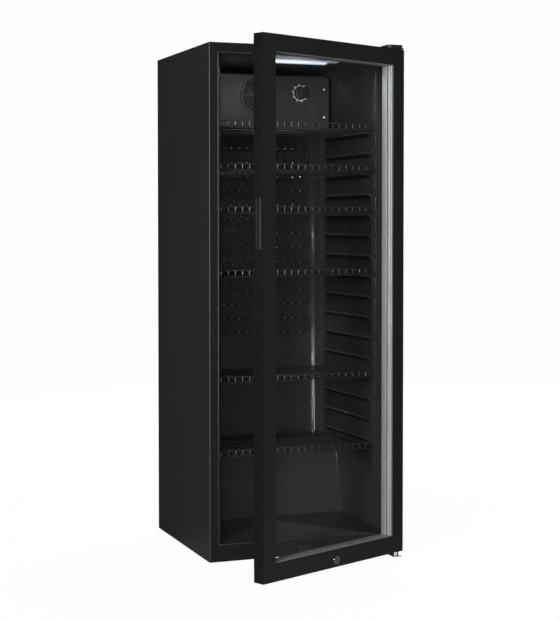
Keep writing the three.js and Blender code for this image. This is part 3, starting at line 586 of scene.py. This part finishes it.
def build_throat_lip(low, high):
    """The liner's rolled lip, which covers the seam between the liner and the shell's flange."""
    reach = 2.4 * MM
    x0, x1 = low.x - reach, high.x + reach
    z0, z1 = low.z - reach, high.z + reach
    y = low.y
    profile = [(0, y + 0.3 * MM), (0.5 * MM, y - 0.7 * MM), (1.8 * MM, y - 1.2 * MM),
               (3.4 * MM, y - 1 * MM), (4.6 * MM, y + 0.2 * MM), (4.8 * MM, y + 2.4 * MM),
               (2.4 * MM, y + 2.4 * MM)]
    to_piece("throat_lip", mesh_ring(x0, x1, z0, z1, profile, 5 * MM), "liner_plastic", "cabinet")


def build_shelves():
    """Wire shelves: deck wires that turn up into a fence, on cross wires and a top rail."""
    wire = 1.9 * MM
    thin = 1.6 * MM  # a cross wire
    sunk = 1.2 * MM  # a deck wire's weld into the cross wires
    turn = 5 * MM
    count = 23
    for number in range(1, 7):
        low, high = extent(f"shelf_{number}")
        x0, x1 = low.x + wire, high.x - wire
        front, back = low.y + wire, high.y - wire
        deck = low.z + 2 * thin + wire - sunk
        top = high.z - wire
        bm = bmesh.new()
        for k in range(count):
            x = x0 + (x1 - x0) * k / (count - 1)
            path = bent([(x, back, deck), (x, front, deck), (x, front, top)], turn)
            add_tube(bm, path, wire * 0.9, 8)
        rail = bent([(x0, back, deck), (x0, front, deck), (x0, front, top), (x1, front, top),
                     (x1, front, deck), (x1, back, deck), (x0, back, deck)], turn)
        add_tube(bm, rail[:-1], wire, 8, closed=True)
        third = front * 0.66 + back * 0.34
        two_thirds = front * 0.33 + back * 0.67
        for y in (front + 6 * MM, third, two_thirds, back - 6 * MM):
            add_tube(bm, [(x0, y, low.z + thin), (x1, y, low.z + thin)], thin, 8)
        to_piece(f"shelf_{number}_wires", bm, "coated_wire", f"rack_{number}", f"shelf_{number}")


def build_fan_cover():
    def long_edge(middle, direction):
        return abs(middle.y - low.y) < 0.2 * MM

    low, high = extent("fan_cover")
    rounded("fan_cover", 0.3 * MM, 1, [(long_edge, 1.2 * MM, 3)])
    build_fan_guard()
    rounded("fan_motor", 0.8 * MM)
    rounded("fan_rotor", 0.4 * MM, 1)
    for number in range(1, 5):
        build_cover_screw(number)
    build_thermostat(low.y)


def build_fan_guard():
    """Flat concentric bars a slot apart, joined by four spokes to a thin rim."""
    low, high = extent("fan_grille")
    back = Vector(((low.x + high.x) / 2, high.y, (low.z + high.z) / 2))
    rim = (high.x - low.x) / 2
    pitch = 8 * MM
    slot = 3 * MM
    chamfer = 0.6 * MM
    rings, spokes = 8, 4
    thick = high.y - low.y
    face = thick - 0.5 * MM
    shoulder = face - chamfer
    out = facing(back, (0, -1, 0))
    bm = bmesh.new()
    for k in range(rings):
        inner = k * pitch - pitch / 2 + slot / 2
        outer = rim if k == rings - 1 else k * pitch + pitch / 2 - slot / 2
        profile = [(inner, 0), (outer, 0), (outer, shoulder), (outer - chamfer, face),
                   (inner + chamfer, face), (inner, shoulder), (inner, 0)]
        if k == 0:
            profile = [(0, 0), (outer, 0), (outer, shoulder), (outer - chamfer, face), (0, face)]
        add_lathe(bm, profile, out, 56)
    bmesh.ops.remove_doubles(bm, verts=bm.verts, dist=1e-7)
    wide, long, deep = 5 * MM, rim - 6 * MM, thick - 1 * MM
    for k in range(spokes):
        turn = Matrix.Rotation(2 * math.pi * k / spokes, 4, "Z")
        for v in bmesh.ops.create_cube(bm, size=1)["verts"]:
            across, along, up = v.co
            v.co = out @ turn @ Vector((across * wide, (along + 0.5) * long, (up + 0.5) * deep))
    to_piece("fan_guard", bm, "grey_plastic", "cabinet", "fan_grille")


def build_cover_screw(number):
    node = f"cover_screw_{number}"
    low, high = extent(node)
    centre = (low + high) / 2
    r = (high.x - low.x) / 2
    deep = high.y - low.y
    socket = 0.42 * r
    bm = bmesh.new()
    profile = [(0, 0), (r, 0), (r, 0.4 * deep), (0.86 * r, 0.75 * deep), (0.6 * r, deep),
               (socket, deep), (socket * 0.9, 0.35 * deep), (0, 0.3 * deep)]
    add_lathe(bm, profile, facing((centre.x, high.y, centre.z), (0, -1, 0)), 18)
    to_piece(f"{node}_head", bm, "zinc_steel", "cabinet", node)


def build_thermostat(face_y):
    """The knob, and a printed scale round it: a tapering arc with ticks."""
    low, high = extent("thermostat_knob")
    centre = Vector(((low.x + high.x) / 2, face_y, (low.z + high.z) / 2))
    rounded("thermostat_body", 1 * MM)
    rounded("thermostat_knob", 0.8 * MM, 2)
    ink = 0.25 * MM
    radius = 23.5 * MM
    start, end, steps = 62, 318, 48  # degrees from +X towards +Z
    ticks = 8
    loops = []
    for k in range(steps + 1):
        share = k / steps
        out, _ = dial_directions(start + (end - start) * share)
        half = (0.25 + 0.45 * share) * MM
        section = [(radius - half, 0), (radius + half, 0), (radius + half, -ink), (radius - half, -ink)]
        loops.append([centre + out * r + Vector((0, y, 0)) for r, y in section])
    bm = bmesh.new()
    add_loft(bm, loops, closed=False)
    near, far = radius + 0.6 * MM, radius + 6 * MM
    half = 0.9 * MM
    for k in range(ticks):
        out, along = dial_directions(start + (end - start) * k / (ticks - 1))
        outline = [out * near - along * half, out * near + along * half,
                   out * far + along * half * 0.6, out * far - along * half * 0.6]
        faces = [[centre + p + Vector((0, y, 0)) for p in outline] for y in (0, -ink)]
        add_loft(bm, faces, closed=False)
    to_piece("thermostat_scale", bm, "white_plastic", "cabinet")


def dial_directions(degrees):
    """Outwards and round, at an angle on a dial that faces the door."""
    angle = math.radians(degrees)
    return Vector((math.cos(angle), 0, math.sin(angle))), Vector((-math.sin(angle), 0, math.cos(angle)))


def build_lamp():
    rounded("lamp_housing", 1 * MM)
    bm = node_mesh("lamp_lens")
    low, high = extent("lamp_lens")
    for v in bm.verts:
        v.co.z = high.z - 0.45 * (high.z - v.co.z)
    bevel(bm, sharp_edges(bm, 60), 1 * MM, 2)
    to_piece("lamp_diffuser", bm, "lamp_diffuser", "cabinet", "lamp_lens")
    rounded("lamp_switch", 0.5 * MM)


def serpentine_path(low, high, runs, radius):
    """Level runs joined by half-round bends, inside a node's box."""
    y = (low.y + high.y) / 2
    z0, z1 = low.z + radius, high.z - radius
    pitch = (z1 - z0) / (runs - 1)
    x0, x1 = low.x + radius + pitch / 2, high.x - radius - pitch / 2
    path = []
    for run in range(runs):
        z = z0 + run * pitch
        start, end = (x0, x1) if run % 2 == 0 else (x1, x0)
        path += [Vector((start, y, z)), Vector((end, y, z))]
        if run < runs - 1:
            side = 1 if run % 2 == 0 else -1
            for k in range(1, 8):
                angle = -math.pi / 2 + math.pi * k / 8
                path.append(Vector((end + side * pitch / 2 * math.cos(angle), y,
                                    z + pitch / 2 * (1 + math.sin(angle)))))
    return path


def build_evaporator():
    low, high = extent("evaporator_tube")
    net_low, net_high = extent("evaporator_wires")
    runs = 15
    radius = (high.y - low.y) / 2
    path = serpentine_path(low, high, runs, radius)
    bm = bmesh.new()
    add_tube(bm, path, radius, 10)
    to_piece("evaporator_coil", bm, "coated_wire", "cabinet", "evaporator_tube", finish="dull_coating")
    wire = 1.2 * MM
    y = net_high.y - wire
    count = 14
    pitch = (high.z - low.z - 2 * radius) / (runs - 1)
    bm = bmesh.new()
    welds = bmesh.new()
    bead = [(0, -3 * MM), (1.7 * MM, -2 * MM), (2.4 * MM, 0), (1.7 * MM, 2 * MM), (0, 3 * MM)]
    for k in range(count):
        x = net_low.x + wire + (net_high.x - net_low.x - 2 * wire) * k / (count - 1)
        add_tube(bm, [(x, y, net_low.z), (x, y, net_high.z)], wire, 8)
        for run in range(runs):
            z = low.z + radius + run * pitch
            add_lathe(welds, bead, facing((x, y - 0.4 * MM, z), (0, 0, 1)), 8)
    to_piece("evaporator_cross_wires", bm, "coated_wire", "cabinet", "evaporator_wires",
             finish="dull_coating")
    to_piece("evaporator_welds", welds, "zinc_steel", "cabinet")


def build_condenser():
    low, high = extent("condenser_tube")
    net_low, net_high = extent("condenser_wires")
    radius = (high.y - low.y) / 2
    bm = bmesh.new()
    add_tube(bm, serpentine_path(low, high, 15, radius), radius, 10)
    to_piece("condenser_coil", bm, "condenser_paint", "cabinet", "condenser_tube")
    wire = 0.8 * MM
    count = 58
    bm = bmesh.new()
    for y in (high.y + wire * 0.6, low.y - wire * 0.6):
        for k in range(count):
            x = net_low.x + wire + (net_high.x - net_low.x - 2 * wire) * k / (count - 1)
            add_tube(bm, [(x, y, net_low.z + 1 * MM), (x, y, net_high.z - 1 * MM)], wire, 6)
    tab = 11 * MM
    panel = net_low.y
    for x in (net_low.x, net_high.x - tab):
        for z in (net_low.z, net_high.z - 9 * MM):
            add_block(bm, (x, panel, z), (x + tab, high.y, z + 9 * MM), 0.8 * MM)
    to_piece("condenser_grid", bm, "condenser_paint", "cabinet", "condenser_wires")


def build_machine_room():
    low, high = extent("compressor")
    centre = (low + high) / 2
    r = (high.x - low.x) / 2
    tall = high.z - low.z
    bm = bmesh.new()
    seam = r - 1.4 * MM
    profile = [
        (0, 0), (r - 14 * MM, 0.5 * MM), (r - 6 * MM, 4 * MM), (r - 3 * MM, 12 * MM),
        (r - 2 * MM, 0.44 * tall), (r, 0.455 * tall), (r, 0.475 * tall), (seam, 0.48 * tall),
        (seam, 0.5 * tall), (r, 0.505 * tall), (r, 0.53 * tall), (r - 2 * MM, 0.545 * tall),
        (r - 3 * MM, 0.8 * tall), (r - 8 * MM, 0.9 * tall), (r - 22 * MM, 0.965 * tall),
        (r - 40 * MM, 0.99 * tall), (0, tall),
    ]
    add_lathe(bm, profile, Matrix.Translation((centre.x, centre.y, low.z)), 48)
    to_piece("compressor_can", bm, "compressor_paint", "cabinet", "compressor")
    rounded("compressor_mount", 1 * MM)
    rounded("start_relay", 3 * MM, 3)
    rounded("drip_tray", 0.8 * MM, 2)
    rounded("machine_cover", 0.25 * MM, 1)
    rounded("power_inlet", 0.5 * MM)
    drier_low, drier_high = extent("filter_drier")
    rounded("filter_drier", 1 * MM, 2)
    build_refrigerant_pipes(centre, r, low, drier_low, drier_high)


def build_refrigerant_pipes(centre, r, low, drier_low, drier_high):
    """The suction, discharge and liquid lines in the machine compartment."""
    pipe = 3 * MM
    drier = (drier_low + drier_high) / 2
    bm = bmesh.new()
    start = Vector((centre.x - r + 6 * MM, centre.y, low.z + 62 * MM))
    rise = 96 * MM
    suction = [start, start + Vector((-22 * MM, 0, 0)), start + Vector((-22 * MM, 0, rise)),
               start + Vector((-60 * MM, -30 * MM, rise)), start + Vector((-60 * MM, -62 * MM, rise))]
    add_tube(bm, bent(suction, 9 * MM, 5), pipe, 10)
    outlet = low.z + 34 * MM
    start = Vector((centre.x - r + 12 * MM, centre.y + 20 * MM, outlet))
    liquid = [start, start + Vector((-44 * MM, 0, 0)), Vector((drier.x, drier.y, outlet)),
              Vector((drier.x, drier.y, drier_low.z + 2 * MM))]
    add_tube(bm, bent(liquid, 9 * MM, 5), pipe * 0.8, 10)
    top = Vector((drier.x, drier.y, drier_high.z - 2 * MM))
    capillary = [top, top + Vector((0, 0, 26 * MM)), top + Vector((-34 * MM, -20 * MM, 40 * MM)),
                 top + Vector((-34 * MM, -60 * MM, 40 * MM))]
    add_tube(bm, bent(capillary, 12 * MM, 5), 1.2 * MM, 8)
    to_piece("refrigerant_pipes", bm, "copper", "cabinet")


def build_hinges_and_feet():
    rounded("hinge_bracket_top", 0.4 * MM, 1)
    rounded("hinge_pin_top", 0.4 * MM, 1)
    top_low, top_high = extent("hinge_cover_top")

    def cap_edge(middle, direction):
        return middle.z > top_high.z - 0.2 * MM

    rounded("hinge_cover_top", 0.3 * MM, 1, [(cap_edge, 1.6 * MM, 3)])
    door_top = extent("door_rail_top")[1].z
    bm = bmesh.new()
    add_block(bm, (top_low.x + 1 * MM, top_low.y + 1 * MM, door_top + 0.8 * MM),
              (top_high.x - 1 * MM, top_low.y + 48 * MM, top_low.z + 1 * MM), 0.5 * MM)
    to_piece("hinge_cover_skirt", bm, "black_plastic", "cabinet")
    rounded("hinge_bracket_bottom", 0.6 * MM)
    rounded("hinge_pin_bottom", 0.4 * MM, 1)
    rounded("strike_plate", 0.25 * MM, 1)
    for node in ("foot_front_left", "foot_front_right", "foot_rear_left", "foot_rear_right"):
        build_foot(node)


def build_foot(node):
    """A levelling foot: a soft-edged pad with grip flutes, on a threaded stem."""
    low, high = extent(node)
    centre = (low + high) / 2
    pad = (high.x - low.x) / 2
    stem = 4 * MM
    profile = [(0, 0), (pad - 1.5 * MM, 0), (pad, 1.5 * MM), (pad, 4.5 * MM), (pad - 1 * MM, 6 * MM),
               (pad - 5 * MM, 10.5 * MM), (pad - 7 * MM, 11 * MM), (stem, 11 * MM)]
    z = 12 * MM
    while z < high.z - low.z - 1.5 * MM:
        profile += [(stem - 0.5 * MM, z), (stem, z + 0.6 * MM)]
        z += 1.25 * MM
    profile += [(stem - 0.6 * MM, high.z - low.z), (0, high.z - low.z)]
    bm = bmesh.new()
    add_lathe(bm, profile, Matrix.Translation((centre.x, centre.y, low.z)), 32)
    for v in bm.verts:
        flat = Vector((v.co.x - centre.x, v.co.y - centre.y))
        if flat.length > pad - 0.5 * MM:
            flute = 0.97 + 0.03 * math.cos(16 * math.atan2(flat.y, flat.x))
            v.co.x = centre.x + flat.x * flute
            v.co.y = centre.y + flat.y * flute
    to_piece(f"{node}_pad", bm, "black_plastic", BODY_OF[node], node)


# ------------------------------------------------------------------ door
def build_door():
    low, high = extent("door_stile_free")
    right = extent("door_stile_hinge")[1].x
    bottom, top = low.z, high.z

    def outer_corner(middle, direction):
        on_edge = min(abs(middle.x - low.x), abs(middle.x - right), abs(middle.z - bottom),
                      abs(middle.z - top)) < 0.1 * MM
        on_face = min(abs(middle.y - low.y), abs(middle.y - high.y)) < 0.1 * MM
        along = abs(direction.y) < 0.1
        return on_edge and on_face and along

    def mitre(middle, direction):
        on_face = abs(middle.y - low.y) < 0.1 * MM
        return on_face and abs(direction.x) > 0.2 and abs(direction.z) > 0.2

    for node in ("door_stile_free", "door_stile_hinge", "door_rail_top", "door_rail_bottom"):
        member = rounded(node, 0.3 * MM, 1, [(mitre, 0.9 * MM, 1), (outer_corner, 1.8 * MM, 4)])
        # Faces turned to the free side take the darker copy: painted shade on that side of the frame.
        member.data.materials.append(LOOK["frame_side_painted_shade"])
        for face in member.data.polygons:
            if (SHUT.to_3x3() @ face.normal).x < -0.98:
                face.material_index = 1
    for node in ("glass_front", "glass_rear"):
        rounded(node, 0.4 * MM, 1)
    build_spacer()
    build_bead()
    build_gasket()
    rounded("handle_cup", 0.5 * MM, 2)
    for node in ("hinge_bush_top", "hinge_bush_bottom"):
        rounded(node, 0.4 * MM, 1)
    build_lock()


def build_spacer():
    """The bright spacer between the panes, with crimped flanks and a seam down its middle."""
    low, high = extent("glass_spacer")
    inner = glazing_inset() - (low.x - extent("glass_front")[0].x)
    y0, y1 = low.y, high.y
    middle = (y0 + y1) / 2
    groove = 0.6 * MM
    profile = [(0, y0), (inner - 1 * MM, y0), (inner, y0 + 1 * MM), (inner, middle - 1.2 * MM),
               (inner - groove, middle), (inner, middle + 1.2 * MM), (inner, y1 - 1 * MM),
               (inner - 1 * MM, y1), (0, y1)]
    bm = mesh_ring(low.x, high.x, low.z, high.z, profile, 1 * MM)
    to_piece("pane_spacer", bm, "bright_aluminium", "door", "glass_spacer")


def glazing_inset():
    """How far the bead and spacer reach in from the panes' edge."""
    pane = extent("glass_front")[0]
    stile = extent("door_stile_free")
    return stile[1].x + 2 * MM - pane.x


def build_bead():
    low, high = extent("glazing_bead")
    stile = extent("door_stile_free")
    door_back = stile[1].y
    inner = stile[1].x + 2 * MM - low.x
    rim = inner - 4 * MM
    y0, y1 = low.y, high.y
    profile = [(0, y0), (inner - 0.8 * MM, y0), (inner, y0 + 0.8 * MM), (inner, y1 - 1 * MM),
               (inner - 1 * MM, y1), (rim + 1 * MM, y1), (rim, y1 - 1 * MM), (rim, door_back),
               (0, door_back)]
    bm = mesh_ring(low.x, high.x, low.z, high.z, profile, 1 * MM)
    to_piece("bright_bead", bm, "bright_aluminium", "door", "glazing_bead")


def build_gasket():
    """A magnetic gasket: a flat foot, a soft bellows and a crowned magnet pocket."""
    low, high = extent("door_gasket")
    y0, y1 = low.y, high.y
    wide = 14 * MM
    waist, crown = y0 + 6.4 * MM, y1 - 0.4 * MM
    shoulder = y1 - 2.4 * MM
    profile = [
        (0, y0), (wide, y0), (wide, y0 + 2 * MM), (wide - 3 * MM, y0 + 4 * MM),
        (wide - 0.6 * MM, waist), (wide - 0.2 * MM, shoulder), (wide - 1.6 * MM, crown),
        (wide / 2, y1), (1.6 * MM, crown), (0.2 * MM, shoulder), (0.6 * MM, waist),
        (3 * MM, y0 + 4 * MM), (0, y0 + 2 * MM),
    ]
    bm = mesh_ring(low.x, high.x, low.z, high.z, profile, 1.5 * MM)
    to_piece("magnetic_gasket", bm, "gasket_rubber", "door", "door_gasket")


def build_lock():
    def rim(middle, direction):
        return middle.y < low.y + 0.2 * MM

    low, high = extent("lock_body")
    rounded("lock_body", 0.3 * MM, 1, [(rim, 1 * MM, 3)])
    rounded("lock_cylinder", 0.3 * MM, 1)
    rounded("lock_cam", 0.4 * MM, 1)


# ------------------------------------------------------------------ stage
def aim(obj, target):
    obj.rotation_euler = (Vector(target) - obj.location).to_track_quat("-Z", "Y").to_euler()


def softbox(name, place, target, width, height, power):
    data = bpy.data.lights.new(name, "AREA")
    data.shape = "RECTANGLE"
    data.size, data.size_y = width, height
    data.energy = power
    light = bpy.data.objects.new(name, data)
    light.location = place
    bpy.context.scene.collection.objects.link(light)
    aim(light, target)
    return light


def build_floor():
    bm = bmesh.new()
    bmesh.ops.create_grid(bm, x_segments=1, y_segments=1, size=14)
    mesh = bpy.data.meshes.new("floor")
    bm.to_mesh(mesh)
    bm.free()
    floor = bpy.data.objects.new("floor", mesh)
    bpy.context.scene.collection.objects.link(floor)
    material = new_material("pale_floor", grey(0.03), 0.9, Specular_IOR_Level=0.0)
    shader = material.node_tree.nodes["Principled BSDF"]
    shader.inputs["Emission Color"].default_value = (1, 1, 1, 1)
    shader.inputs["Emission Strength"].default_value = 0.975
    mesh.materials.append(material)
    floor.visible_glossy = False
    floor.visible_diffuse = False
    before_door = [(-0.6, -1.4), (0.843, -1.4), (0.43, 0.3), (-0.6, 0.3)]
    build_reflector("near_floor", before_door, strength=0.11)
    under_key = [(-1.03, -1.45), (-1.38, -1.15), (-4.16, -3.74), (-3.2, -4.56)]
    build_reflector("key_floor", under_key, strength=8)


def build_reflector(name, corners, strength):
    """A patch of pale floor that only reflections show."""
    bm = bmesh.new()
    bm.faces.new([bm.verts.new((x, y, 0.5 * MM)) for x, y in corners])
    mesh = bpy.data.meshes.new(name)
    bm.to_mesh(mesh)
    bm.free()
    card = bpy.data.objects.new(name, mesh)
    bpy.context.scene.collection.objects.link(card)
    material = new_material(name, grey(0), 1.0, Specular_IOR_Level=0.0)
    shader = material.node_tree.nodes["Principled BSDF"]
    shader.inputs["Emission Color"].default_value = (1, 1, 1, 1)
    shader.inputs["Emission Strength"].default_value = strength
    mesh.materials.append(material)
    card.visible_camera = False
    card.visible_diffuse = False
    card.visible_shadow = False


def build_world():
    """White behind the cooler; a dim even room for its light and reflections."""
    world = bpy.data.worlds.new("studio")
    bpy.context.scene.world = world
    world.use_nodes = True
    nodes, links = world.node_tree.nodes, world.node_tree.links
    backdrop, room, dark = nodes["Background"], *(nodes.new("ShaderNodeBackground") for _ in range(2))
    for background, strength in ((backdrop, 0.985), (room, 0.05), (dark, 0.012)):
        background.inputs["Color"].default_value = (1, 1, 1, 1)
        background.inputs["Strength"].default_value = strength
    path = nodes.new("ShaderNodeLightPath")
    reflected = nodes.new("ShaderNodeMixShader")
    links.new(path.outputs["Is Glossy Ray"], reflected.inputs["Fac"])
    links.new(room.outputs["Background"], reflected.inputs[1])
    links.new(dark.outputs["Background"], reflected.inputs[2])
    mix = nodes.new("ShaderNodeMixShader")
    links.new(path.outputs["Is Camera Ray"], mix.inputs["Fac"])
    links.new(reflected.outputs["Shader"], mix.inputs[1])
    links.new(backdrop.outputs["Background"], mix.inputs[2])
    links.new(mix.outputs["Shader"], nodes["World Output"].inputs["Surface"])


def build_lights():
    middle = (0, 0, 0.8)
    softbox("key", (-3.9, -3.9, 1.35), middle, width=0.9, height=2.7, power=360)
    softbox("front", (-2.5, -5.6, 1.3), middle, width=2.2, height=3.0, power=240)
    softbox("back", (2.2, 3.9, 1.8), middle, width=2.0, height=2.4, power=110)
    softbox("right", (4.0, 2.9, 1.6), middle, width=1.6, height=2.6, power=140)
    low, high = extent("lamp_lens")
    under = ((low.x + high.x) / 2, (low.y + high.y) / 2, low.z - 3 * MM)
    onto_shelves = (0, 0.1, 0.6)
    glow = softbox("lamp_glow", under, onto_shelves, high.x - low.x, high.y - low.y, power=0.8)
    glow.data.color = (0.93, 0.96, 1.0)
    glow.visible_camera = False
    low, high = extent("inner_liner")
    place = ((low.x + high.x) / 2, low.y + 1 * MM, (low.z + high.z) / 2)
    inwards = (place[0], 1, place[2])
    fill = softbox("cavity_fill", place, inwards, width=0.3, height=1.3, power=1.2)
    fill.visible_camera = False
    fill.visible_glossy = False


# ------------------------------------------------------------------ everything
def main():
    make_camera()
    build_cabinet()
    build_shelves()
    build_fan_cover()
    build_lamp()
    build_evaporator()
    build_condenser()
    build_machine_room()
    build_hinges_and_feet()
    build_door()
    build_floor()
    build_world()
    build_lights()
    scene = bpy.context.scene
    scene.view_settings.view_transform = "Standard"
    scene.cycles.transparent_max_bounces = 24


LOOK = make_materials()
main()
